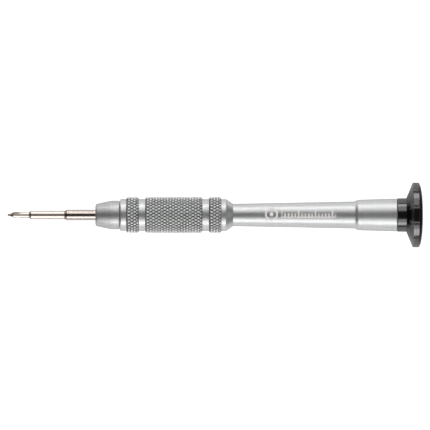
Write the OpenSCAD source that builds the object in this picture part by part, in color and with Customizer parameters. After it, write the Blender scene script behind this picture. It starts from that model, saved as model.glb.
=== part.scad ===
// Watchmaker's screwdriver: a three-wing blade in a collet chuck, a knurled
// aluminium handle, and a petal-edged finger cap that turns on a ball bearing.
// Millimetres. The tool's axis is X, with the blade's tip at the origin and
// the cap's end face towards +X.

/* [Blade] */
// Length of blade that stands out of the chuck
blade_out = 25; // [20:0.5:30]
// Length of blade inside the chuck and handle
blade_in = 15; // [13:0.5:20]
// Width across the three wings at the tip
tip_d = 0.6; // [0.5:0.05:0.8]
// Diameter of the slim part behind the tip
slim_d = 1.6; // [1.4:0.1:1.8]
// Diameter of the middle part
mid_d = 2.4; // [2.2:0.1:2.6]
// Diameter of the coated shank
shank_d = 3; // [2.8:0.05:3.1]

/* [Chuck] */
// Diameter of the chuck nose
nose_d = 8.15; // [7.8:0.05:8.6]
// Length of the chuck nose
nose_len = 6.85; // [6.4:0.05:8]
// Outside diameter of the chuck's thread
thread_d = 6.5; // [6.2:0.1:6.8]
// Number of slots that split the collet
collet_slots = 4; // [3:1:4]

/* [Grip] */
// Diameter over the knurl's crests
knurl_d = 10.35; // [9.8:0.05:11]
// Diameter of the smooth lands beside the knurl
land_d = 9.1; // [8.7:0.1:9.4]
// Length of the long knurled band
long_band = 16.3; // [12:0.1:24]
// Length of each short knurled band
short_band = 3.6; // [3:0.1:5]
// Length of each smooth land
land_len = 1.8; // [1.2:0.1:3]

/* [Handle] */
// Diameter of the neck, where the grip's cone ends
neck_d = 6.35; // [5.8:0.05:7]
// Diameter at the large end of the long taper
waist_d = 7.7; // [7.2:0.1:8.2]
// Length of the long taper
taper_len = 34.7; // [25:0.1:45]
// Diameter just behind the step
barrel_d = 8.7; // [8.4:0.1:9]
// Diameter at the handle's rear end
tail_d = 9.35; // [9.1:0.05:9.5]
// Length of the rear barrel
barrel_len = 11.15; // [10.5:0.05:16]

/* [Cap] */
// Diameter over the petals
cap_d = 18.5; // [17:0.5:22]
// Number of petals round the rim
petals = 12; // [10:1:16]
// Radius of each petal's broad outer arc, which lets the tool lie on a petal without rolling
petal_r = 12; // [11:0.5:20]
// Diameter of the collar
collar_d = 9.55; // [9.45:0.05:10]
// Length of the collar
collar_len = 2.55; // [2.4:0.05:4]
// Diameter of the cover plate
cover_d = 12; // [11:0.5:13]

/* [Bearing] */
// Bore of the ball bearing
bearing_bore = 3; // [2.5:0.1:3]
// Outside diameter of the ball bearing
bearing_d = 8; // [7.8:0.1:8]
// Width of the ball bearing
bearing_w = 3; // [2.8:0.1:3]
// Number of balls
ball_count = 7; // [6:1:8]
// Diameter of each ball
ball_d = 1.2; // [1.1:0.05:1.2]

/* [Hidden] */
$fn = 96;

past = 1;            // how far a cutter runs past the surface that it cuts
run_gap = 0.03;      // radial clearance of parts that turn or slide on each other
edge = 0.35;         // axial length of the chamfer at each end of a knurled band

// Stations along the axis, from the tip to the end face
nose_x = blade_out;
nose_end = nose_x + nose_len;
grip_x = nose_end + 0.1;
front_band_x = grip_x + land_len;
long_band_x = front_band_x + short_band + land_len;
rear_band_x = long_band_x + long_band + land_len;
grip_end = rear_band_x + short_band + 0.75 * land_len;
neck_x = grip_end + 1.9;
step_x = neck_x + taper_len;
barrel_x = step_x + 0.85;
handle_end = barrel_x + barrel_len;
cap_x = handle_end + 0.1;
rim_x = cap_x + collar_len + 1.85;
rim_end = rim_x + 1.65;
end_face = rim_end + 1.05;

// Blade
slim_x = 1.6;
mid_x = 6.6;
shank_x = 16.8;
shank_end = blade_out - 2;
blade_end = blade_out + blade_in;
tail_gap = 0.02;     // how far the ground tail lies below the coated shank
tail_r = shank_d / 2 - tail_gap;
web_r = 0.14;        // core left between the flutes at the tip
flute_r = 0.3;
flute_len = 4.3;
flute_tilt = atan((slim_d / 2 - web_r) / flute_len);
flute_turn = -45;    // turn of the first flute about the axis, from straight up

// Chuck
spigot_x = nose_x + 3.4;
spigot_r = thread_d / 2;
collet_x = nose_x + 1.1;
collet_front_r = 2.2;
collet_head_r = 2.8;
collet_cone_end = spigot_x - 0.3;
collet_stem_r = 2.15;
collet_end = spigot_x + 8.6;
slot_w = 0.35;
nose_r = nose_d / 2;
nose_mouth_r = shank_d / 2 + 0.2;
nose_cone_end = nose_x + 4.6;
nose_front_r = nose_r - 0.83;
nose_corner = 0.7;   // radius of the rounded front corner
nose_bulge = 0.05;   // how far the cone swells past a straight side
nose_break = 0.15;   // chamfer at the nose's rear edge

// Cap end
petal_shift = petal_r - cap_d / 2;   // how far past the axis each petal's arc is centred
petal_half = 180 / petals;
// Radius at which neighbouring petals meet
corner_r = sqrt(pow(petal_r, 2) - pow(petal_shift * sin(petal_half), 2)) - petal_shift * cos(petal_half);
valley_r = 0.3;      // radius of the narrow groove between two petals
bearing_end = end_face - 2.4;
bearing_x = bearing_end - bearing_w;
bearing_mid = bearing_x + bearing_w / 2;
bearing_r = bearing_d / 2;
ball_ring_r = (bearing_bore + bearing_d) / 4;
race_r = 1.05 * ball_d / 2;
race_gap = 0.01;     // clearance under each ball
inner_ring_r = ball_ring_r - 0.45;
outer_ring_r = ball_ring_r + 0.45;
shield_seat_r = outer_ring_r + 0.2;
shield_seat = 0.36;  // depth of the counterbore that holds a shield
shield_t = 0.12;
cage_t = 0.46;
clip_t = 0.58;
clip_x = bearing_x - clip_t - 0.03;
washer_t = 0.35;
screw_r = 1;
screw_head_x = bearing_end + washer_t;
screw_head_t = 0.9;
spindle_x = handle_end - 8.3;
spindle_end = bearing_end - 0.1;
cover_x = end_face - 0.85;
cover_r = cover_d / 2;

// Points of an arc round c, from angle a0 to a1
function arc(c, r, a0, a1, n = 6) =
    [for (i = [0:n]) c + r * [cos(a0 + (a1 - a0) * i / n), sin(a0 + (a1 - a0) * i / n)]];

// A knurled band's outline, as [radius, x] points
function band(x, len) = [[land_d / 2, x], [knurl_d / 2, x + edge],
                         [knurl_d / 2, x + len - edge], [land_d / 2, x + len]];

// Turns an outline of [radius, x] points about the tool's axis
module turned(points) rotate([0, 90, 0]) rotate_extrude() polygon(points);

// A plain round bar between two stations
module bar(r, x0, x1) rotate([0, 90, 0]) translate([0, 0, x0]) cylinder(r = r, h = x1 - x0);

// A flat ring between two stations, with its outer corners broken
module ring(r_in, r_out, x0, x1, bevel = 0.05)
    turned([[r_in, x0], [r_out - bevel, x0], [r_out, x0 + bevel],
            [r_out, x1 - bevel], [r_out - bevel, x1], [r_in, x1]]);

// Copies spaced evenly round the axis; the first is towards +Y
module spaced(n, r = 0) for (i = [0:n - 1]) rotate([i * 360 / n, 0, 0]) translate([0, r, 0]) children();

// A blind hole from x0 to x1 with a drill point past x1
module drilled(r, x0, x1) {
    point = r * 0.6 * sign(x1 - x0);
    bar(r, min(x0, x1), max(x0, x1));
    turned([[0, x1], [r, x1], [0, x1 + point]]);
}

// One long groove ground between two wings, shallowing out away from the tip
module flute()
    translate([0, 0, web_r + flute_r])
        rotate([0, 90 - flute_tilt, 0])
            translate([0, 0, -past])
                cylinder(r = flute_r, h = flute_len + 2 * past);

module blade() color("#c9c2ba") difference() {
    turned([[0, 0], [tip_d / 2, 0], [tip_d / 2 + 0.08, 0.9], [slim_d / 2, slim_x],
            [slim_d / 2, mid_x - 0.4], [mid_d / 2, mid_x],
            [mid_d / 2, shank_x - 0.35], [shank_d / 2, shank_x],
            [shank_d / 2, shank_end], [tail_r, shank_end + tail_gap],
            [tail_r, blade_end - 0.3], [tail_r - 0.3, blade_end], [0, blade_end]]);
    for (i = [0:2]) rotate([flute_turn + i * 120, 0, 0]) flute();
}

module collet() color("#b9a36a") {
    bore_r = tail_r + run_gap;
    slot_end = collet_end - 1.6;
    difference() {
        turned([[bore_r, collet_x], [collet_front_r, collet_x], [collet_head_r, collet_cone_end],
                [collet_head_r, spigot_x], [collet_stem_r, spigot_x],
                [collet_stem_r, collet_end - 0.2], [collet_stem_r - 0.2, collet_end],
                [bore_r, collet_end]]);
        for (i = [0:collet_slots - 1]) rotate([i * 360 / collet_slots, 0, 0]) {
            translate([collet_x - past, 0, -slot_w / 2])
                cube([slot_end - collet_x + past, collet_head_r + past, slot_w]);
            translate([slot_end, 0, 0]) rotate([-90, 0, 0]) cylinder(r = slot_w, h = collet_head_r + past);
        }
    }
}

module chuck_nose() color("#b8bab9") {
    // Points along the cone, from its front corner to the plain cylinder
    front = nose_x + nose_corner;
    cone = [for (t = [0.4, 0.72, 1])
        [nose_front_r + (nose_r - nose_front_r) * t + nose_bulge * sin(180 * t),
         front + (nose_cone_end - front) * t]];
    turned(concat(
        [[nose_mouth_r + 0.15, nose_x]],
        arc([nose_front_r - nose_corner, front], nose_corner, -90, -14),
        cone, [
         [nose_r, nose_end - nose_break], [nose_r - nose_break, nose_end],
         [spigot_r + run_gap + 0.15, nose_end], [spigot_r + run_gap, nose_end - 0.15],
         [spigot_r + run_gap, spigot_x - 0.2], [collet_head_r + run_gap, spigot_x - 0.2],
         [collet_head_r + run_gap, collet_cone_end],
         [collet_front_r + run_gap, collet_x], [collet_front_r + run_gap, collet_x - 0.1],
         [nose_mouth_r, collet_x - 0.1], [nose_mouth_r, nose_x + 0.15]]));
}

module handle_body() color("#b8bab9") {
    relief = 0.5;
    difference() {
        turned(concat(
            [[0, spigot_x], [spigot_r - 0.3, spigot_x], [spigot_r, spigot_x + 0.3],
             [spigot_r, grip_x - relief], [spigot_r - 0.4, grip_x - relief],
             [spigot_r - 0.4, grip_x], [land_d / 2 - 0.35, grip_x],
             [land_d / 2 - 0.1, grip_x + 0.1], [land_d / 2, grip_x + 0.35]],
            band(front_band_x, short_band),
            band(long_band_x, long_band),
            band(rear_band_x, short_band),
            [[land_d / 2, grip_end], [neck_d / 2, neck_x], [waist_d / 2, step_x],
             [barrel_d / 2, barrel_x], [tail_d / 2, handle_end - 0.1],
             [tail_d / 2 - 0.1, handle_end], [0, handle_end]]));
        bar(collet_stem_r + run_gap, spigot_x - past, collet_end + 0.4);
        drilled(tail_r + 0.05, collet_end, blade_end + 0.05);
        drilled(bearing_bore / 2, handle_end + past, spindle_x);
    }
}

// Steel pin pressed into the handle; its tail is tapped for the retaining screw
module spindle() color("#9a9da0") {
    r = bearing_bore / 2;
    difference() {
        turned([[0, spindle_x], [r - 0.25, spindle_x], [r, spindle_x + 0.25],
                [r, spindle_end - 0.1], [r - 0.1, spindle_end], [0, spindle_end]]);
        for (i = [1:3]) difference() {
            bar(r + past, spindle_x + 2 * i, spindle_x + 2 * i + 0.3);
            bar(r - 0.1, spindle_x, spindle_end);
        }
        drilled(screw_r, spindle_end + past, bearing_x - 0.9);
    }
}

module bearing_spacer() color("#c2a558") ring(bearing_bore / 2, inner_ring_r - 0.15, handle_end, bearing_x);

module bearing_inner_ring() color("#a7abb0") difference() {
    ring(bearing_bore / 2, inner_ring_r, bearing_x, bearing_end);
    rotate([0, 90, 0]) translate([0, 0, bearing_mid]) rotate_extrude()
        translate([ball_ring_r - ball_d / 2 - race_gap + race_r, 0]) circle(r = race_r);
}

module bearing_outer_ring() color("#a7abb0") difference() {
    ring(outer_ring_r, bearing_r, bearing_x, bearing_end, 0.12);
    rotate([0, 90, 0]) translate([0, 0, bearing_mid]) rotate_extrude()
        translate([ball_ring_r + ball_d / 2 + race_gap - race_r, 0]) circle(r = race_r);
    bar(shield_seat_r, bearing_x - past, bearing_x + shield_seat);
    bar(shield_seat_r, bearing_end - shield_seat, bearing_end + past);
}

// Ball number i, counted round the ring from +Y
module bearing_ball(i) color("#d5d8dc")
    rotate([(i - 1) * 360 / ball_count, 0, 0])
        translate([bearing_mid, ball_ring_r, 0])
            sphere(d = ball_d);

// Crown cage: a band behind the balls, with pockets that open towards the front
module bearing_cage() color("#8f9499") difference() {
    turned([[ball_ring_r - cage_t / 2, bearing_mid - 0.4], [ball_ring_r + cage_t / 2, bearing_mid - 0.4],
            [ball_ring_r + cage_t / 2, bearing_mid + 0.95], [ball_ring_r - cage_t / 2, bearing_mid + 0.95]]);
    spaced(ball_count, ball_ring_r) translate([bearing_mid, 0, 0]) sphere(r = ball_d / 2 + 0.04);
}

module shield(x) color("#8f9499") ring(inner_ring_r + 0.07, shield_seat_r, x, x + shield_t, 0.02);
module front_shield() shield(bearing_x + shield_seat - shield_t);
module rear_shield() shield(bearing_end - shield_seat);

// Open wire ring that holds a shield in its seat
module snap_ring(x, wire = 0.18) color("#6f7478") difference() {
    turned([[shield_seat_r - wire, x], [shield_seat_r, x],
            [shield_seat_r, x + wire], [shield_seat_r - wire, x + wire]]);
    translate([x - past, 0, -0.4]) cube([wire + 2 * past, shield_seat_r + past, 0.8]);
}
module front_snap_ring() snap_ring(bearing_x + 0.05);
module rear_snap_ring() snap_ring(bearing_end - 0.23);

// Internal circlip that keeps the bearing in the cap's collar
module bearing_circlip() color("#55585c") {
    lug_r = 0.55;
    lug_at = bearing_r - 0.5;
    rotate([0, 90, 0]) translate([0, 0, clip_x]) linear_extrude(clip_t) difference() {
        union() {
            difference() {
                circle(r = bearing_r + 0.2);
                circle(r = bearing_r - 0.5);
                translate([-0.7, 0]) square([1.4, bearing_r + past]);
            }
            for (side = [-1, 1]) rotate(side * 16) translate([0, lug_at]) circle(r = lug_r);
        }
        for (side = [-1, 1]) rotate(side * 16) translate([0, lug_at]) circle(r = 0.25);
    }
}

module clamp_washer() color("#9a9da0") ring(screw_r + 0.05, 2.15, bearing_end, screw_head_x);

module retaining_screw() color("#8d9094") difference() {
    turned([[0, bearing_x - 0.5], [screw_r - 0.2, bearing_x - 0.5], [screw_r, bearing_x - 0.3],
            [screw_r, screw_head_x], [1.9, screw_head_x], [1.9, screw_head_x + 0.6],
            [1.6, screw_head_x + screw_head_t], [0, screw_head_x + screw_head_t]]);
    translate([screw_head_x + 0.4, -2.5, -0.22]) cube([past, 5, 0.44]);
}

module swivel_cap() color("#2b2b2d") difference() {
    intersection() {
        turned([[0, cap_x], [collar_d / 2 - 0.1, cap_x], [collar_d / 2, cap_x + 0.1],
                [collar_d / 2, cap_x + collar_len], [corner_r, rim_x], [corner_r, rim_end],
                [cap_d / 2 - 0.85, rim_end + 0.5], [cap_d / 2 - 1.55, rim_end + 0.68],
                [cover_r, end_face - 0.12], [0, end_face - 0.12]]);
        intersection_for(i = [1:petals])
            rotate([2 * i * petal_half, 0, 0]) translate([0, -petal_shift, 0])
                bar(petal_r, cap_x - past, end_face + past);
    }
    rotate([petal_half, 0, 0]) spaced(petals, corner_r - 0.05) bar(valley_r, rim_x - past, end_face);
    bar(bearing_r, cap_x - past, bearing_end);
    bar(bearing_r + 0.22, clip_x - 0.02, bearing_x - 0.01);
    bar(bearing_r - 0.7, bearing_end - past, cover_x + past);
    bar(cover_r, cover_x, end_face + past);
}

// Plate pressed into the end of the cap over the screw
module cap_cover() color("#333336")
    turned([[0, cover_x], [cover_r - 0.1, cover_x], [cover_r, cover_x + 0.1],
            [cover_r, end_face - 0.12], [cover_r - 1.7, end_face], [0, end_face]]);

blade();
collet();
chuck_nose();
handle_body();
spindle();
bearing_spacer();
bearing_inner_ring();
bearing_cage();
bearing_outer_ring();
front_shield();
rear_shield();
front_snap_ring();
rear_snap_ring();
bearing_circlip();
clamp_washer();
retaining_screw();
swivel_cap();
cap_cover();
for (i = [1:ball_count])
    bearing_ball(i);
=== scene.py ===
import math

import bpy
import numpy as np
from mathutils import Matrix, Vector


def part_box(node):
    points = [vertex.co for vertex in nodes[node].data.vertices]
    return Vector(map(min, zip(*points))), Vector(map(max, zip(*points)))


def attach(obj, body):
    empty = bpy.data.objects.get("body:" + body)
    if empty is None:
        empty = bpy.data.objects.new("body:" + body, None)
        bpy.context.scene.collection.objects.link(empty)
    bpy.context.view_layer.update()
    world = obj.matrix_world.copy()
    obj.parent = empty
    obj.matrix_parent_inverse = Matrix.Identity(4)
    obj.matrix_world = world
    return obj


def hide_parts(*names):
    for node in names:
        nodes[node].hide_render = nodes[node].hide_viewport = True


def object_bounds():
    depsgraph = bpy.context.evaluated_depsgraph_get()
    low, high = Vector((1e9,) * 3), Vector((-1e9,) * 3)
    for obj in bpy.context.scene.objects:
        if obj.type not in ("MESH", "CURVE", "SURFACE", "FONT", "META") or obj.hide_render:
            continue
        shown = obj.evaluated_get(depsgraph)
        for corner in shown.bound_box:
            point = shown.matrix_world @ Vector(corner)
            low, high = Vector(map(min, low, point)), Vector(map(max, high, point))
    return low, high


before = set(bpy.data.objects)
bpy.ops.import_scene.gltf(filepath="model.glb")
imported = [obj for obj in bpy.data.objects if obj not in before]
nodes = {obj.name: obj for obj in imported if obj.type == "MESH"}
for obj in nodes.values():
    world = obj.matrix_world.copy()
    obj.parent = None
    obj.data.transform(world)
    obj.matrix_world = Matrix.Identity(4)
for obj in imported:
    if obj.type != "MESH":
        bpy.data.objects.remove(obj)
cad_low, cad_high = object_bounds()
scene = bpy.context.scene

# ---------------------------------------------------------------- camera
# The tool lies along X and is seen square from above, from far enough away
# that its sides look parallel.

view_width = 0.1224  # metres across the picture, at the tool
camera_distance = 1.452
tool_middle = (cad_low.x + cad_high.x) / 2
camera_data = bpy.data.cameras.new("camera")
camera_data.sensor_width = 36
camera_data.lens = camera_data.sensor_width * camera_distance / view_width
camera_data.clip_start = 0.01
camera_data.clip_end = 20
camera = bpy.data.objects.new("camera", camera_data)
camera.location = (tool_middle, 0, camera_distance)
scene.collection.objects.link(camera)
scene.camera = camera

# ------------------------------------------------------- floor and lights
# A white table under the tool, a strong and a weak soft box above it on either side,
# and a dim room. The camera sees the table and the room burnt out to white, while
# the tool reflects a lower brightness: a faint painted glow of the table and the dim room.
# Close to the tool the table's colour and glow are darkened into a painted contact shadow,
# and it is as dark as a black card past its two ends. An overhead lamp lights only matt
# surfaces, and a weak soft box past the cap lights the faces that look that way.


def new_material(name):
    """An empty node material: (material, its node tree, its Principled shader)."""
    material = bpy.data.materials.new(name)
    material.use_nodes = True
    tree = material.node_tree
    return material, tree, tree.nodes["Principled BSDF"]


def add_node(tree, kind, **inputs):
    """A new shader node, its sockets set or linked by name or, as _0, by number."""
    node = tree.nodes.new("ShaderNode" + kind)
    for name, value in inputs.items():
        numbered = name[1:].isdigit()
        socket = node.inputs[int(name[1:]) if numbered else name.replace("_", " ")]
        if isinstance(value, bpy.types.NodeSocket):
            tree.links.new(value, socket)
        else:
            socket.default_value = value
    return node


def math_node(tree, operation, *values):
    """One Math node's output; values are numbers or sockets."""
    node = add_node(tree, "Math", **{f"_{i}": value for i, value in enumerate(values)})
    node.operation = operation
    return node.outputs[0]


def camera_only(tree, seen, real):
    """A strength that camera rays see as one value and all other rays as another."""
    camera_ray = add_node(tree, "LightPath").outputs["Is Camera Ray"]
    return add_node(tree, "Mix", _0=camera_ray, _2=real, _3=seen).outputs[0]


floor_z = cad_low.z - 0.00005
floor_half = 4.0
floor_mesh = bpy.data.meshes.new("floor")
floor_corners = [(-1, -1), (1, -1), (1, 1), (-1, 1)]
floor_mesh.from_pydata(
    [(x * floor_half, y * floor_half, floor_z) for x, y in floor_corners], [], [(0, 1, 2, 3)]
)
floor = bpy.data.objects.new("floor", floor_mesh)
scene.collection.objects.link(floor)
floor_material, tree, shader = new_material("white_table")
shader.inputs["Roughness"].default_value = 0.9
shader.inputs["Specular IOR Level"].default_value = 0
shader.inputs["Emission Color"].default_value = (1, 1, 1, 1)
place = add_node(tree, "SeparateXYZ", Vector=add_node(tree, "TexCoord").outputs["Object"])
beside = math_node(tree, "ABSOLUTE", place.outputs["Y"])


def ramp(tree, value, start, end, low=0.0, high=1.0):
    """A straight ramp from low, where the value is at start or short of it, to high at
    the end. The end may be less than the start."""
    made = add_node(tree, "MapRange", Value=value, From_Min=start, From_Max=end)
    made.inputs["To Min"].default_value = low
    made.inputs["To Max"].default_value = high
    return made.outputs[0]


# Where a change in the table's brightness starts and ends, in metres: distances from the
# axis, or places along it for the cards. The others are emission strengths and tones.
glow_starts, glow_ends, full_glow = 0.007, 0.028, 0.3
painted_shadow_inner, painted_shadow_outer, darkest, palest = 0.003, 0.011, 0.2, 0.8
tip_card_starts, tip_card_ends = -0.016, -0.006
card_side_starts, card_side_ends = 0.022, 0.032
cap_card_gap, cap_card_tone = 0.01, 0.08
# Painted light: the table glows for all rays but camera rays, and the glow fades to nothing close
# to the tool as a painted shadow.
painted_glow = ramp(tree, beside, glow_starts, glow_ends, high=full_glow)
off_cap_card = ramp(
    tree, place.outputs["X"], cad_high.x + cap_card_gap, cad_high.x, low=cap_card_tone)
inside_tip = ramp(tree, place.outputs["X"], tip_card_starts, tip_card_ends)
beside_card = ramp(tree, beside, card_side_starts, card_side_ends)
off_tip_card = math_node(tree, "MAXIMUM", inside_tip, beside_card)
# Painted shadow: the table's colour darkens close to the tool, where its contact shadow would fall.
painted_shadow_tone = ramp(tree, beside, painted_shadow_inner, painted_shadow_outer, darkest, palest)
shadowed_table_tone = math_node(tree, "MULTIPLY", painted_shadow_tone, off_tip_card)
painted_glow_off_card = math_node(tree, "MULTIPLY", painted_glow, off_tip_card)
tree.links.new(camera_only(tree, 1.0, painted_glow_off_card), shader.inputs["Emission Strength"])
tree.links.new(math_node(tree, "MULTIPLY", shadowed_table_tone, off_cap_card), shader.inputs["Base Color"])
floor_mesh.materials.append(floor_material)

room_glow = 0.04
world = bpy.data.worlds.new("room")
world.use_nodes = True
tree = world.node_tree
tree.links.new(camera_only(tree, 1.0, room_glow), tree.nodes["Background"].inputs["Strength"])
tree.nodes["Background"].inputs["Color"].default_value = (1, 1, 1, 1)
scene.world = world


def soft_box(name, angle, width, length, radiance, away=0.6, along=0.0):
    """An area light whose middle stands at an angle in degrees from straight up, towards
    +Y, and which faces the tool, set off along X. Its power is radiance x pi x area."""
    light = bpy.data.lights.new(name, "AREA")
    light.shape = "RECTANGLE"
    light.size = length
    light.size_y = width
    light.energy = radiance * math.pi * length * width
    holder = bpy.data.objects.new(name, light)
    turn = math.radians(angle)
    holder.location = (tool_middle + along, away * math.sin(turn), away * math.cos(turn))
    holder.rotation_euler = (-turn, 0, 0)
    holder.visible_camera = False
    scene.collection.objects.link(holder)
    return holder


box_length, box_shift = 0.5, -0.05
strong_width, weak_width, weak_tilt = 0.21, 0.30, 43
for side, tilt, strong, weak in ((-1, 64, 2.9, 1.3), (1, 70, 2.75, 1.2)):
    soft_box(f"strong_box_{side}", side * tilt, strong_width, box_length, strong, along=box_shift)
    soft_box(f"weak_box_{side}", side * weak_tilt, weak_width, box_length, weak, along=box_shift)
overhead = soft_box("overhead", 0, width=0.3, length=0.3, radiance=14.0, away=1.0)
overhead.visible_glossy = False
end_away, end_height = 0.9, 0.3
end_box = soft_box("end_box", 0, width=0.5, length=0.5, radiance=0.45)
end_box.location = (tool_middle + end_away, 0, end_height)
end_box.rotation_euler = (0, math.atan2(end_away, end_height), 0)

scene.view_settings.view_transform = "Standard"
scene.view_settings.look = "None"

# ----------------------------------------------------------------- blade
# The blade is one piece of hardened steel, ground in three diameters. Three flutes
# are ground into its tip for a three-wing screw, and it is finely polished. Its
# tail is ground a little thinner where the collet holds it.

MM = 0.001
columns = 340  # points round a turned surface; a multiple of the knurl's 34 starts


def eased(points, reach, steps=3):
    """A profile with its corners eased. Each inner corner becomes a quadratic curve that
    starts and ends the given distance from it (at most 45% of the way to the next
    corner), bent towards the corner itself. points is (corner, ..., 2)."""
    points = np.asarray(points, float)
    here, before, after = points[1:-1], points[:-2], points[2:]
    reach = np.broadcast_to(np.reshape(reach, (-1,) + (1,) * (points.ndim - 1)), here.shape)

    def towards(other):
        """The points the given distance from the corners, towards the others."""
        span = np.linalg.norm(other - here, axis=-1, keepdims=True)
        return here + (other - here) * np.minimum(reach / np.maximum(span, 1e-9), 0.45)

    start, end = towards(before), towards(after)
    t = np.linspace(0, 1, steps + 1).reshape((1, -1) + (1,) * (points.ndim - 1))
    curve = (1 - t) ** 2 * start[:, None] + 2 * t * (1 - t) * here[:, None] + t**2 * end[:, None]
    curve = curve.reshape((-1,) + points.shape[1:])
    return np.concatenate([points[:1], curve, points[-1:]])


def all_round(profile, count=columns):
    """A (station, 2) profile repeated for every column, as (station, column, 2)."""
    return np.repeat(np.asarray(profile, float)[:, None], count, axis=1)


def turned(name, profile, material, closed=False, angle=None, diagonal=None, sharp=35):
    """A surface turned about X, from a (station, column, 2) profile of x and radius in
    millimetres. Column j stands at angle[j] from +Z towards +Y, and a point is (x, r sin
    angle, r cos angle). A closed profile joins its last station to its first; an open
    one ends in a point on the axis at either end. diagonal(i, j) is true where a cell
    is cut along its falling diagonal."""
    n = profile.shape[1]
    if angle is None:
        angle = 2 * np.pi * np.arange(n) / n
    x, r = profile[..., 0], profile[..., 1]
    grid = np.stack([x, r * np.sin(angle), r * np.cos(angle)], axis=-1)
    body = grid if closed else grid[1:-1]
    m = len(body)
    i, j = np.meshgrid(np.arange(m if closed else m - 1), np.arange(n), indexing="ij")
    below, beside = (i + 1) % m, (j + 1) % n
    a, b, c, d = i * n + j, below * n + j, below * n + beside, i * n + beside
    points = body.reshape(-1, 3)
    if diagonal is None:
        faces = np.stack([a, b, c, d], -1).reshape(-1, 4).tolist()
    else:
        falling = diagonal(i + (0 if closed else 1), j)[..., None, None]
        one = np.stack([np.stack([a, b, d], -1), np.stack([b, c, d], -1)], -2)
        two = np.stack([np.stack([a, b, c], -1), np.stack([a, c, d], -1)], -2)
        faces = np.where(falling, one, two).reshape(-1, 3).tolist()
    if not closed:
        j = np.arange(n)
        points = np.concatenate([points, grid[:1, 0] * (1, 0, 0), grid[-1:, 0] * (1, 0, 0)])
        last = (m - 1) * n
        faces += np.stack([np.full(n, m * n), j, (j + 1) % n], -1).tolist()
        faces += np.stack([np.full(n, m * n + 1), last + (j + 1) % n, last + j], -1).tolist()
    mesh = bpy.data.meshes.new(name)
    mesh.from_pydata((points * MM).tolist(), [], faces)
    mesh.polygons.foreach_set("use_smooth", np.ones(len(mesh.polygons), bool))
    mesh.set_sharp_from_angle(angle=math.radians(sharp))
    mesh.materials.append(material)
    mesh.validate()
    piece = bpy.data.objects.new(name, mesh)
    scene.collection.objects.link(piece)
    piece.modifiers.new("flat_faces", "WEIGHTED_NORMAL").keep_sharp = True
    return piece


def stands_for(piece, node, body):
    """Puts a finished piece in a CAD node's place."""
    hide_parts(node)
    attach(piece, body)


def group(name, inputs, outputs):
    """An empty shader node group of float sockets: (group, input node, output node)."""
    made = bpy.data.node_groups.new(name, "ShaderNodeTree")
    for title, default in inputs.items():
        socket = made.interface.new_socket(title, in_out="INPUT", socket_type="NodeSocketFloat")
        socket.default_value = default
    for title in outputs:
        made.interface.new_socket(title, in_out="OUTPUT", socket_type="NodeSocketFloat")
    return made, made.nodes.new("NodeGroupInput"), made.nodes.new("NodeGroupOutput")


def use_group(tree, made, **inputs):
    """Places a node group in a material's tree, with its inputs set by name."""
    node = add_node(tree, "Group")
    node.node_tree = made
    for title, value in inputs.items():
        node.inputs[title].default_value = value
    return node


def noise(tree, vector, scale, detail=2.0):
    """A noise texture's value, for a position in metres."""
    made = add_node(tree, "TexNoise", Vector=vector, Scale=scale, Detail=detail)
    return made.outputs["Fac"]


# Lathe marks: noise stretched into rings about X, one layer of fine tool marks and one
# of broad bands, with a little even grain and a few soft smudges from handling.
lathe, given, result = group(
    "lathe_marks", {"Pitch": 0.0001, "Band": 0.001, "Grain": 0.3}, ["Height", "Tone", "Smudge"]
)
place = add_node(lathe, "TexCoord").outputs["Object"]
axes = add_node(lathe, "SeparateXYZ", Vector=place)


def rings(spacing, around):
    """Noise that changes once per spacing along X, and slowly round the axis."""
    along = math_node(lathe, "DIVIDE", axes.outputs["X"], spacing)
    y = math_node(lathe, "MULTIPLY", axes.outputs["Y"], around)
    z = math_node(lathe, "MULTIPLY", axes.outputs["Z"], around)
    return noise(lathe, add_node(lathe, "CombineXYZ", X=along, Y=y, Z=z).outputs[0], 1.0)


fine_round, broad_round = 60.0, 25.0  # how fast the rings change round the axis
speck_scale, smudge_scale = 14000.0, 160.0  # noise cells to a metre
fine = rings(given.outputs["Pitch"], fine_round)
broad = rings(given.outputs["Band"], broad_round)
speck = math_node(
    lathe, "MULTIPLY", noise(lathe, place, speck_scale, 1.0), given.outputs["Grain"])
lathe.links.new(math_node(lathe, "ADD", fine, speck), result.inputs["Height"])
tone = math_node(lathe, "MULTIPLY_ADD", fine, 0.5, broad)
lathe.links.new(math_node(lathe, "MULTIPLY_ADD", speck, 0.25, tone), result.inputs["Tone"])
lathe.links.new(noise(lathe, place, smudge_scale, 3.0), result.inputs["Smudge"])


def between(tree, factor, dark, light):
    """A colour that runs from dark to light with the factor."""
    mix = add_node(tree, "Mix", _0=factor)
    mix.data_type = "RGBA"
    for socket, colour in ((6, dark), (7, light)):
        if isinstance(colour, bpy.types.NodeSocket):
            tree.links.new(colour, mix.inputs[socket])
        else:
            mix.inputs[socket].default_value = (*colour, 1)
    return mix.outputs[2]


tone_low, tone_high = 0.45, 1.05  # the part of the lathe tone's range that is used


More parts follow.
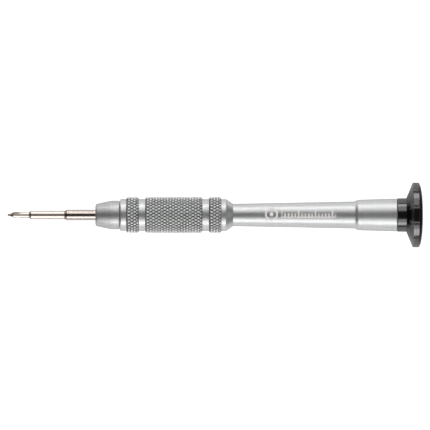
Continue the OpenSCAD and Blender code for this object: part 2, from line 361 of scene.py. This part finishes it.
def metal(name, dark, light, rough, spread, pitch, band, grain, dent, metallic=1.0):
    """A turned metal. Its colour runs from dark to light with the lathe's bands, its
    roughness from rough by spread with them and with smudges, and the fine tool marks
    and grain are a bump of the given depth in metres."""
    material, tree, shader = new_material(name)
    marks = use_group(tree, lathe, Pitch=pitch, Band=band, Grain=grain)
    tone = ramp(tree, marks.outputs["Tone"], tone_low, tone_high)
    colour = between(tree, tone, dark, light)
    tree.links.new(colour, shader.inputs["Base Color"])
    worn = math_node(tree, "MULTIPLY_ADD", marks.outputs["Smudge"], spread, rough - spread / 2)
    gloss = math_node(tree, "MULTIPLY_ADD", tone, spread, worn)
    tree.links.new(gloss, shader.inputs["Roughness"])
    shader.inputs["Metallic"].default_value = metallic
    bump = add_node(tree, "Bump", Height=marks.outputs["Height"])
    bump.inputs["Distance"].default_value = dent
    tree.links.new(bump.outputs[0], shader.inputs["Normal"])
    return material, tree, shader


blade_steel, tree, shader = metal(
    "blade_steel", dark=(0.76, 0.67, 0.61), light=(0.84, 0.75, 0.69),
    rough=0.28, spread=0.03, pitch=0.00005, band=0.0008, grain=0.05, dent=6e-8,
)
# The thick shank is a shade darker and smoother than the rest. Where the polishing wheel
# doesn't reach, at the point, in the flutes and on the shoulders, the steel stays brown
# from grinding. All of these lengths are in millimetres.
shank_tint, ground_brown, shank_gloss = (0.6, 0.515, 0.475), (0.32, 0.25, 0.205), -0.12
tint_starts, tint_ends = 16.5, 16.9
polished_r, unpolished_r = 0.78, 0.6
shoulders = ((6.35, 0.25), (16.45, 0.33))  # each shoulder's middle and half its brown length
shoulder_fade, shoulder_strength = 0.12, 1.25
place = add_node(tree, "SeparateXYZ", Vector=add_node(tree, "TexCoord").outputs["Object"])
on_shank = ramp(tree, place.outputs["X"], tint_starts * MM, tint_ends * MM)
polished = shader.inputs["Base Color"].links[0].from_socket
tinted = between(tree, on_shank, polished, shank_tint)


def off_axis(tree, place):
    """The distance from the tool's axis of a place given by its X, Y and Z."""
    flat = add_node(tree, "CombineXYZ", X=0.0, Y=place.outputs["Y"], Z=place.outputs["Z"])
    length = add_node(tree, "VectorMath", _0=flat.outputs[0])
    length.operation = "LENGTH"
    return length.outputs["Value"]


unpolished = ramp(tree, off_axis(tree, place), polished_r * MM, unpolished_r * MM)
for shoulder_x, half in shoulders:
    from_middle = math_node(tree, "SUBTRACT", place.outputs["X"], shoulder_x * MM)
    off = math_node(tree, "ABSOLUTE", from_middle)
    on_shoulder = ramp(tree, off, (half + shoulder_fade) * MM, half * MM)
    brown = math_node(tree, "MULTIPLY", on_shoulder, shoulder_strength)
    unpolished = math_node(tree, "MAXIMUM", unpolished, brown)
tree.links.new(between(tree, unpolished, tinted, ground_brown), shader.inputs["Base Color"])
worn = shader.inputs["Roughness"].links[0].from_socket
tree.links.new(
    math_node(tree, "MULTIPLY_ADD", on_shank, shank_gloss, worn), shader.inputs["Roughness"])

blade_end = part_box("blade")[1].x / MM
blade_columns = 192
tip_r, slim_r, stem_r, shank_r, tail_r = 0.3, 0.8, 1.2, 1.5, 1.48
slim_end, stem_start, stem_end, shank_start, shank_end = 6.2, 6.6, 16.45, 16.8, 23
flute_r = 0.3
flute_height = 0.44  # height of a flute's middle line above the axis, at the tip
flute_rise = math.tan(math.radians(8.73))
flute_end = 4.9
flute_turn = np.pi / 4  # angle of the first flute's middle
flute_gap = 2 * np.pi / 3  # angle from one flute to the next


def fluted(x, r, angle):
    """Cuts three flutes. A flute is a round bar of radius q whose middle line stands c
    above the axis and rises with x. At the angle t from the flute's middle, its near
    side is c cos t - root(q^2 - c^2 sin^2 t) from the axis, and the lesser of that
    and the plain radius is kept."""
    c = (flute_height + flute_rise * x)[:, None]
    t = (angle[None] - flute_turn + flute_gap / 2) % flute_gap - flute_gap / 2
    under = flute_r**2 - (c * np.sin(t)) ** 2
    cut = c * np.cos(t) - np.sqrt(np.maximum(under, 0))
    return np.minimum(r[:, None], np.where(under > 0, cut, np.inf))


blade_angle = 2 * np.pi * np.arange(blade_columns) / blade_columns
tip_x = np.linspace(0, flute_end, 64)
plain_r = np.interp(
    tip_x, [0, 0.06, 0.9, 1.05, 1.6], [tip_r - 0.05, tip_r, 0.38, 0.45, slim_r])
tip_radius = fluted(tip_x, plain_r, blade_angle)
tip_rows = np.stack([np.repeat(tip_x[:, None], blade_columns, 1), tip_radius], -1)
rear_rows = eased(
    [(flute_end, slim_r), (slim_end, slim_r), (stem_start, stem_r), (stem_end, stem_r),
     (shank_start, shank_r), (shank_end, shank_r), (shank_end + 0.04, tail_r),
     (blade_end - 0.3, tail_r), (blade_end, tail_r - 0.3), (blade_end, 0)], 0.06
)[1:]
point_row = all_round([(0, 0)], blade_columns)
blade = turned(
    "blade_ground",
    np.concatenate([point_row, tip_rows, all_round(rear_rows, blade_columns)]),
    blade_steel, angle=blade_angle, sharp=28,
)
stands_for(blade, "blade", "blade")

# ---------------------------------------------------------------- collet
# The collet is a split brass sleeve with a cone at its front. Screwing the nose on
# squeezes its four fingers onto the blade's tail.

brass = metal(
    "collet_brass", dark=(0.55, 0.41, 0.17), light=(0.72, 0.57, 0.28),
    rough=0.24, spread=0.1, pitch=0.00012, band=0.0008, grain=0.3, dent=1.2e-6,
)[0]


def finish(material, *names):
    """Gives CAD nodes that keep their own shape their material."""
    for name in names:
        for slot in nodes[name].material_slots:
            slot.material = material


finish(brass, "collet")

# ------------------------------------------------------------ chuck nose
# The nose is turned from aluminium: a rounded front, a slightly swelled cone and a
# short cylinder, left with its turning marks. Its bore has a fine right-hand thread
# that screws onto the handle.

nose_aluminium = metal(
    "nose_aluminium", dark=(0.48, 0.485, 0.49), light=(0.70, 0.70, 0.70),
    rough=0.40, spread=0.1, pitch=0.00016, band=0.0007, grain=0.25, dent=2.2e-6, metallic=0.92,
)[0]

nose_low, nose_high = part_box("chuck_nose")
nose_front = nose_low.x / MM
nose_end = nose_high.x / MM
nose_r = nose_high.z / MM
thread_pitch = 0.75
thread_rows = 12  # stations along one turn of a thread
thread_flank = 0.22  # length of a tooth's flank, in turns
thread_runout = 0.25  # length over which a thread dies out at its ends


def thread(x0, x1, foot, tip, half, phase):
    """A right-hand thread's stations. Its tooth runs where x over the pitch plus the
    turn angle is a whole number past the phase, and falls from tip to foot radius over
    the given half width, in turns."""
    x = np.arange(x0, x1, thread_pitch / thread_rows * (1 if x1 > x0 else -1))
    turns = x[:, None] / thread_pitch + np.arange(columns)[None] / columns - phase
    away = np.abs((turns + 0.5) % 1 - 0.5)
    to_end = np.minimum(np.abs(x - x0), np.abs(x1 - x))
    ends = np.clip(to_end / thread_runout, 0, 1)[:, None]
    r = foot + (tip - foot) * np.clip((half - away) / thread_flank, 0, 1) * ends
    return np.stack([np.repeat(x[:, None], columns, 1), r], -1)


fillet = 0.7
cone_rise, cone_long, cone_swell = 0.83, 3.9, 0.05
front_r = nose_r - cone_rise
bend = np.radians(np.linspace(-90, -14, 9))
fillet_x = nose_front + fillet + fillet * np.sin(bend)
fillet_r = front_r - fillet + fillet * np.cos(bend)
t = np.linspace(0.1, 1, 12)
cone_x = nose_front + fillet + cone_long * t
cone_r = front_r + cone_rise * t + cone_swell * np.sin(np.pi * t)
bore_r = 3.28
blade_hole_r, cone_foot_r, cone_mouth_r = 1.7, 2.23, 2.83  # the collet's cone sits between
cone_start, cone_end = 26.1, 28.1
tooth_r, nose_tooth_half, nose_thread_end = 2.98, 0.22, 28.5
nose_outside = [(nose_front + 0.15, blade_hole_r), (nose_front, blade_hole_r + 0.15)]
nose_outside += list(zip(fillet_x, fillet_r)) + list(zip(cone_x, cone_r))
chamfer = 0.15
nose_tail = [(nose_end - chamfer, nose_r), (nose_end, nose_r - chamfer),
             (nose_end, bore_r + chamfer), (nose_end - chamfer, bore_r)]
nose_inside = [
    (cone_end + 0.1, bore_r), (cone_end + 0.1, cone_mouth_r), (cone_end, cone_mouth_r),
    (cone_start, cone_foot_r), (cone_start - 0.1, cone_foot_r), (cone_start - 0.1, blade_hole_r)]
nose = turned(
    "chuck_nose_turned",
    np.concatenate([
        all_round(nose_outside),
        all_round(eased(nose_tail, 0.04)),
        thread(nose_end - 0.2, nose_thread_end, foot=bore_r, tip=tooth_r,
               half=nose_tooth_half, phase=0.5),
        all_round(nose_inside),
    ]),
    nose_aluminium, closed=True,
)
stands_for(nose, "chuck_nose", "nose")

# ------------------------------------------------------------ handle body
# The handle is one bar of aluminium turned on a lathe: a threaded spigot, a grip
# with three knurled bands between smooth lands, a cone, a long taper, a step and
# the rear barrel. It is lightly blasted and clear anodised, and marked by laser.

# The laser's mark: a ring with a dot in it, then a scale of fine ticks on a base line,
# with every fifth tick long. It shows on the upper side, and reads X and Y in metres.
mark, given, result = group("laser_mark", {}, ["Mask"])
axes = add_node(mark, "SeparateXYZ", Vector=add_node(mark, "TexCoord").outputs["Object"])
mark_x, mark_y, mark_up = (axes.outputs[k] for k in "XYZ")


def shift(value, by):
    """The value less a distance in millimetres, in millimetres."""
    return math_node(mark, "MULTIPLY_ADD", value, 1 / MM, -by)


def inside_of(value, limit, soft=0.05):
    """One where the value is under the limit, falling to nothing over a soft edge."""
    return ramp(mark, value, limit + soft, limit)


def both(*masks):
    """Masks multiplied together."""
    out = masks[0]
    for other in masks[1:]:
        out = math_node(mark, "MULTIPLY", out, other)
    return out


def size(value):
    """The value without its sign."""
    return math_node(mark, "ABSOLUTE", value)


badge_x, badge_y = 75.05, 0.2
ring_r, ring_half, dot_r = 1.6, 0.22, 0.5
tick_half = 0.19  # half a tick's width, in gaps
line_half = 0.12
away = add_node(mark, "VectorMath", _0=add_node(
    mark, "CombineXYZ", X=shift(mark_x, badge_x), Y=shift(mark_y, badge_y), Z=0.0).outputs[0])
away.operation = "LENGTH"
from_badge = away.outputs["Value"]
badge = math_node(
    mark, "MAXIMUM",
    inside_of(size(math_node(mark, "SUBTRACT", from_badge, ring_r)), ring_half),
    inside_of(from_badge, dot_r),
)
scale_x0, scale_x1, tick_gap = 77.95, 93.31, 0.96
base_y, long_tick, short_tick = -0.62, 1.9, 1.05
scale_middle, scale_half = (scale_x0 + scale_x1) / 2, (scale_x1 - scale_x0) / 2
on_scale = inside_of(size(shift(mark_x, scale_middle)), scale_half)
ticks = math_node(mark, "DIVIDE", shift(mark_x, scale_x0), tick_gap)
beside_tick = size(math_node(mark, "SUBTRACT", ticks, math_node(mark, "ROUND", ticks)))
fifths = math_node(mark, "DIVIDE", ticks, 5.0)
beside_fifth = size(math_node(mark, "SUBTRACT", fifths, math_node(mark, "ROUND", fifths)))
tick_top = math_node(
    mark, "MULTIPLY_ADD", math_node(mark, "LESS_THAN", beside_fifth, 0.1), long_tick - short_tick,
    short_tick + base_y)
over = math_node(mark, "SUBTRACT", shift(mark_y, 0.0), tick_top)
under = math_node(mark, "SUBTRACT", base_y, shift(mark_y, 0.0))
tick = both(inside_of(beside_tick, tick_half), inside_of(over, 0.0), inside_of(under, 0.0))
base_line = inside_of(size(shift(mark_y, base_y)), line_half)
scale_mask = both(on_scale, math_node(mark, "MAXIMUM", tick, base_line))
upper_side = math_node(mark, "GREATER_THAN", mark_up, 0.0)
mark_mask = both(upper_side, math_node(mark, "MAXIMUM", badge, scale_mask))
mark.links.new(mark_mask, result.inputs["Mask"])

satin_aluminium, tree, shader = metal(
    "satin_aluminium", dark=(0.66, 0.67, 0.672), light=(0.73, 0.735, 0.73),
    rough=0.40, spread=0.06, pitch=0.00010, band=0.0011, grain=0.5, dent=1.0e-6,
)
etched = use_group(tree, mark).outputs["Mask"]
# The knurl's grooves are darkened with painted shade, and its crests are rubbed bright. Both are
# known by their distance from the axis. Each pair is the radius in millimetres where a
# change starts and ends. The painted shade stays clear of the barrel, which is nearly as thick
# as the grooves' bottoms.
groove_shade_starts, groove_shade_ends = 4.985, 4.91
barrel_clear, groove_shade_full = 4.685, 4.71
rub_starts, rub_ends = 4.96, 5.01
painted_groove_shade, rubbed_bright, etched_white = (0.1, 0.103, 0.105), (0.93, 0.93, 0.92), (0.88, 0.85, 0.82)
rub_gloss, etched_rough, handle_metallic = -0.1, 0.9, 0.92
place = add_node(tree, "SeparateXYZ", Vector=add_node(tree, "TexCoord").outputs["Object"])
from_axis = off_axis(tree, place)
under_crest = ramp(tree, from_axis, groove_shade_starts * MM, groove_shade_ends * MM)
over_barrel = ramp(tree, from_axis, barrel_clear * MM, groove_shade_full * MM)
in_groove = math_node(tree, "MULTIPLY", under_crest, over_barrel)
bare = shader.inputs["Base Color"].links[0].from_socket
# Painted shade: the colour in the knurl's grooves is darkened where shade falls.
groove_shaded = between(tree, in_groove, bare, painted_groove_shade)
on_crest = ramp(tree, from_axis, rub_starts * MM, rub_ends * MM)
rubbed = between(tree, on_crest, groove_shaded, rubbed_bright)
tree.links.new(between(tree, etched, rubbed, etched_white), shader.inputs["Base Color"])
bare_gloss = shader.inputs["Roughness"].links[0].from_socket
smooth_crest = math_node(tree, "MULTIPLY_ADD", on_crest, rub_gloss, bare_gloss)
dull = math_node(
    tree, "MAXIMUM", smooth_crest, math_node(tree, "MULTIPLY", etched, etched_rough))
tree.links.new(dull, shader.inputs["Roughness"])
polish = math_node(tree, "MULTIPLY_ADD", etched, -handle_metallic, handle_metallic)
tree.links.new(polish, shader.inputs["Metallic"])

handle_low, handle_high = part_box("handle_body")
handle_front = handle_low.x / MM
handle_end = handle_high.x / MM
crest_r = handle_high.y / MM
grip_front = nose_end + 0.1
land_r = 4.55
short_band, long_band, land = 3.6, 16.3, 1.8
band_edge = 0.35  # length of the chamfer at a band's end
starts = 34
cell = columns // starts
diamond_long = 1.6
groove_depth = 0.24
groove_half = 0.17  # half width of a groove, in starts
dome = 0.09  # how far a diamond's top falls from its middle to its sides


def knurled(x0, length, fade=0.0):
    """A knurled band's stations. Two families of V grooves wind round it, one each way:
    a groove runs where the turn angle, in starts, plus or minus x over the diamond's
    length is a whole number. Its depth falls off as a bell curve of the distance to it,
    each diamond's top is domed, and the band's chamfered ends cut across the diamonds.
    The pattern dies out unevenly over the last stretch, if fade is given."""
    count = round(length / diamond_long * cell)
    x = x0 + np.arange(count + 1) * length / count
    start = np.arange(columns) / cell
    along = np.arange(count + 1) / cell
    left = np.abs((start[None] + along[:, None] + 0.5) % 1 - 0.5)
    right = np.abs((start[None] - along[:, None] + 0.5) % 1 - 0.5)
    clear = (1 - np.exp(-((left / groove_half) ** 2))) * (1 - np.exp(-((right / groove_half) ** 2)))
    depth = groove_depth * (1 - clear) + dome / 2 * ((1 - 2 * left) ** 2 + (1 - 2 * right) ** 2)
    if fade:
        ragged = 0.35 * np.sin(0.7 * np.pi * start) + 0.25 * np.sin(5.3 * start)
        left_over = (x0 + length - x[:, None] + 0.12 * ragged[None]) / fade
        depth = depth * np.clip(left_over, 0, 1)
    outline = np.interp(x, [x0, x0 + band_edge, x0 + length - band_edge, x0 + length],
                        [land_r, crest_r, crest_r, land_r])
    r = np.minimum(outline[:, None], crest_r - depth)
    r[0] = r[-1] = land_r
    return np.stack([np.repeat(x[:, None], columns, 1), r], -1)


def plain(points, reach):
    """A smooth stretch of the profile, with eased corners."""
    return all_round(eased(points, reach))


front_band = grip_front + land
main_band = front_band + short_band + land
rear_band = main_band + long_band + land
grip_end = rear_band + short_band + 0.75 * land
neck = grip_end + 1.9
step = neck + 34.7
barrel = step + 0.85
tight = 0.01  # gap that keeps a land's end off the knurl's first station
tail_bore, collet_bore, collet_bore_end = 1.53, 2.18, 37.4
spigot_r, spigot_tooth_r, spigot_tooth_half = 2.85, 3.24, 0.34
spigot_thread_end = grip_front - 0.6
neck_r, step_r, barrel_front_r, barrel_r = 3.175, 3.85, 4.35, 4.675
pin_hole_r, pin_hole_end = 1.5, 102.5
stretches = [
    plain([(blade_end + 0.9, 0), (blade_end + 0.05, tail_bore), (collet_bore_end, tail_bore),
           (collet_bore_end, collet_bore), (handle_front, collet_bore),
           (handle_front, spigot_r - 0.05), (handle_front + 0.25, spigot_r)], 0.03),
    thread(handle_front + 0.3, spigot_thread_end, foot=spigot_r, tip=spigot_tooth_r,
           half=spigot_tooth_half, phase=0.0),
    plain([(spigot_thread_end, spigot_r), (grip_front, spigot_r), (grip_front, 4.2),
           (grip_front + 0.1, 4.45), (grip_front + 0.35, land_r),
           (front_band - tight, land_r)], 0.08),
    knurled(front_band, short_band),
    plain([(front_band + short_band + tight, land_r), (main_band - tight, land_r)], 0.05),
    knurled(main_band, long_band),
    plain([(main_band + long_band + tight, land_r), (rear_band - tight, land_r)], 0.05),
    knurled(rear_band, short_band, fade=0.5),
    plain([(rear_band + short_band + tight, land_r), (grip_end, land_r), (neck, neck_r),
           (step, step_r), (barrel, barrel_front_r), (barrel + 0.1, barrel_front_r + 0.005),
           (handle_end - 0.12, barrel_r), (handle_end, barrel_r - 0.095),
           (handle_end, pin_hole_r), (pin_hole_end, pin_hole_r), (pin_hole_end, 0)], 0.1),
]
band_stretches = (3, 5, 7)
row_start = np.cumsum([0] + [len(s) for s in stretches])


def groove_side(i, j):
    """True where a cell's falling diagonal lies in a groove, counted from its own band."""
    falling = np.zeros_like(i)
    for k in band_stretches:
        band = (i >= row_start[k]) & (i < row_start[k + 1])
        falling = np.where(band, (i - row_start[k] + 1 + j) % cell == 0, falling)
    return falling.astype(bool)


handle = turned(
    "handle_body_turned", np.concatenate(stretches), satin_aluminium, diagonal=groove_side, sharp=24
)
stands_for(handle, "handle_body", "handle")

# ------------------------------------------- spindle, spacer and fastening
# A hardened pin is pressed into the handle's rear end and carries the bearing. A
# brass tube sets the bearing's place, and a washer and a slotted screw clamp it.

machine_steel = metal(
    "machine_steel", dark=(0.42, 0.43, 0.44), light=(0.58, 0.59, 0.6),
    rough=0.3, spread=0.1, pitch=0.0001, band=0.0006, grain=0.3, dent=1.2e-6,
)[0]
spacer_brass = metal(
    "spacer_brass", dark=(0.52, 0.39, 0.17), light=(0.68, 0.54, 0.27),
    rough=0.28, spread=0.1, pitch=0.00014, band=0.0009, grain=0.2, dent=1.4e-6,
)[0]
finish(machine_steel, "spindle", "clamp_washer", "retaining_screw")
finish(spacer_brass, "bearing_spacer")

# ---------------------------------------------------------- ball bearing
# The bearing's two rings are ground and polished steel. Seven polished balls run
# between them in a pressed crown cage, and two thin pressed shields, each held by
# an open wire ring, keep dust out.

bearing_steel = metal(
    "bearing_steel", dark=(0.52, 0.53, 0.55), light=(0.66, 0.67, 0.69),
    rough=0.14, spread=0.08, pitch=0.00006, band=0.0005, grain=0.1, dent=4e-7,
)[0]
ball_steel = metal(
    "ball_steel", dark=(0.72, 0.73, 0.74), light=(0.8, 0.81, 0.82),
    rough=0.06, spread=0.04, pitch=0.0005, band=0.002, grain=0.05, dent=1e-7,
)[0]
pressed_steel = metal(
    "pressed_steel", dark=(0.42, 0.43, 0.45), light=(0.56, 0.57, 0.59),
    rough=0.3, spread=0.1, pitch=0.0003, band=0.001, grain=0.6, dent=1e-6,
)[0]
spring_steel = metal(
    "spring_steel", dark=(0.17, 0.175, 0.19), light=(0.3, 0.31, 0.33),
    rough=0.32, spread=0.12, pitch=0.0004, band=0.0012, grain=0.8, dent=1.2e-6,
)[0]
finish(bearing_steel, "bearing_inner_ring", "bearing_outer_ring")
finish(ball_steel, *[name for name in nodes if name.startswith("bearing_ball_")])
finish(pressed_steel, "bearing_cage", "front_shield", "rear_shield")
finish(spring_steel, "front_snap_ring", "rear_snap_ring", "bearing_circlip")

# ------------------------------------------------------------ swivel cap
# The cap is turned from aluminium and anodised black: a collar that holds the
# bearing, a cone, and a disc whose rim is milled into twelve broad petals with
# a narrow valley between each two.

black_aluminium = metal(
    "black_aluminium", dark=(0.095, 0.092, 0.095), light=(0.15, 0.145, 0.15),
    rough=0.15, spread=0.06, pitch=0.00012, band=0.0012, grain=0.4, dent=8e-7,
)[0]

cap_low, cap_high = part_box("swivel_cap")
cap_front = cap_low.x / MM
cap_r = cap_high.y / MM
petals = 12
petal_columns = 26
petal_half = np.pi / petals
petal_arc = 12.0  # as in the CAD: broad enough for the tool to lie on a petal without rolling
valley_deep, valley_wide = 0.33, 0.2
collar_r = 4.775
collar_end = cap_front + 2.55
rim_front, rim_rear = 115.3, 116.95
cover_r = 6.0

# Columns are spaced closer towards the valleys: u runs from -1 to 1 over a petal.
u = -1 + 2 * np.arange(petal_columns) / petal_columns
in_petal = petal_half * (u + 0.75 * np.sin(np.pi * u) / np.pi)
cap_angle = (in_petal[None] + np.pi / 2 + 2 * petal_half * np.arange(petals)[:, None]).ravel()


def petal_rim(t):
    """A petal's radius at the angle t from its middle: an arc centred s past the axis
    reaches root(R^2 - s^2 sin^2 t) - s cos t, less a narrow bell-shaped valley where
    it meets the next petal."""
    s = petal_arc - cap_r
    arc = np.sqrt(petal_arc**2 - (s * np.sin(t)) ** 2) - s * np.cos(t)
    from_valley = cap_r * (petal_half - np.abs(t))
    return arc - valley_deep * np.exp(-((from_valley / valley_wide) ** 2))


rim_r = np.tile(petal_rim(in_petal), petals)
corner_r = petal_rim(np.array([petal_half]))[0] + valley_deep
front_x = collar_end + (rim_r - collar_r) * (rim_front - collar_end) / (corner_r - collar_r)
bevel_x = rim_rear + 0.5 * (corner_r - rim_r) / (corner_r - cap_r + 0.85)
ones = np.ones_like(rim_r)


def stations(*points):
    """Profile points of x and radius, each a number or a value per column."""
    return np.stack([np.stack([ones * x, ones * r], -1) for x, r in points])


bearing_r = 4.0
clip_front, bearing_front, bearing_end, cover_front = 111.97, 112.59, 115.6, 117.15
cap_outside = eased(stations(
    (cap_front, bearing_r), (cap_front, collar_r - 0.1), (cap_front + 0.1, collar_r),
    (collar_end, collar_r), (front_x, rim_r), (bevel_x, rim_r), (rim_rear + 0.5, cap_r - 0.85),
    (rim_rear + 0.68, cap_r - 1.55), (rim_rear + 0.93, cover_r), (cover_front, cover_r)),
    0.12)
cap_inside = stations(
    (cover_front, bearing_r - 0.7), (bearing_end, bearing_r - 0.7), (bearing_end, bearing_r),
    (bearing_front, bearing_r), (bearing_front, bearing_r + 0.22), (clip_front, bearing_r + 0.22),
    (clip_front, bearing_r))
cap = turned(
    "swivel_cap_turned", np.concatenate([cap_outside, cap_inside]), black_aluminium,
    closed=True, angle=cap_angle, sharp=40,
)
stands_for(cap, "swivel_cap", "cap")

# ------------------------------------------------------------- cap cover
# A black plate is pressed into the end of the cap over the screw. Its face is
# turned smooth, with fine rings that catch the light.

cover_black = metal(
    "cover_black", dark=(0.13, 0.128, 0.132), light=(0.2, 0.195, 0.2),
    rough=0.26, spread=0.1, pitch=0.00012, band=0.001, grain=0.4, dent=1.5e-6,
)[0]
end_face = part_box("cap_cover")[1].x / MM
cover = turned(
    "cap_cover_turned",
    all_round(eased(
        [(cover_front, 0), (cover_front, cover_r - 0.1), (cover_front + 0.1, cover_r - 0.02),
         (end_face - 0.16, cover_r - 0.02), (end_face - 0.1, cover_r - 0.12), (end_face, 4.3),
         (end_face, 0)], 0.05)),
    cover_black,
)
stands_for(cover, "cap_cover", "cap")
